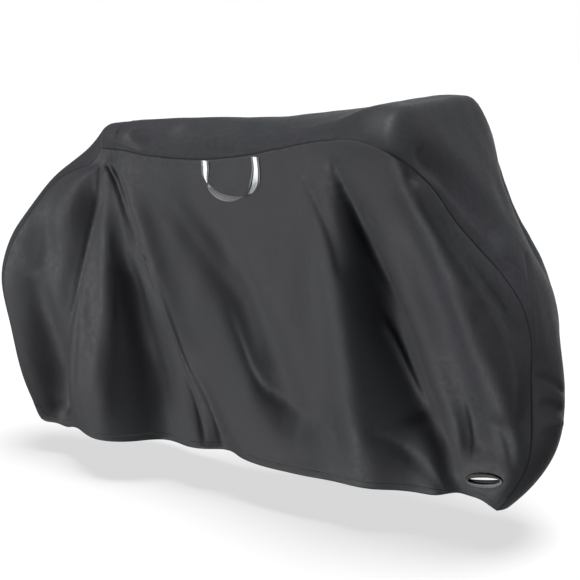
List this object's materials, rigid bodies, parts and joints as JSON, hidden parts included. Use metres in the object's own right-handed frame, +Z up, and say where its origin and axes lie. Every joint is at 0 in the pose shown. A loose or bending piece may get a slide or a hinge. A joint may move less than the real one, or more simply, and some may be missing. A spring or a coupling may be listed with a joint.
{
  "type": "bicycle cover",
  "caption": "Fitted cover of thin coated cloth that hangs over a bicycle: a centre strip, two side panels, a webbing pull handle and an oval hole with a reflective trim low on each side.",
  "frame": {"origin": "on the underside of the gusset on the centre plane, between the rear peak and the shoulders, where what it covers carries it", "axes": "+X to the front, along its length; +Y to the far side; +Z up"},
  "size_m": [1.6823, 0.6724, 0.9971],
  "materials": {
    "coated_cloth": "satin black coated polyester",
    "webbing": "woven black webbing with a reflective silver stripe",
    "reflective_trim": "silver grey reflective cloth"
  },
  "bodies": {
    "root": {"gusset": "coated_cloth", "side_near": "coated_cloth", "side_far": "coated_cloth", "pull_handle": "webbing", "trim_near": "reflective_trim", "trim_far": "reflective_trim"}
  },
  "joints": []
}
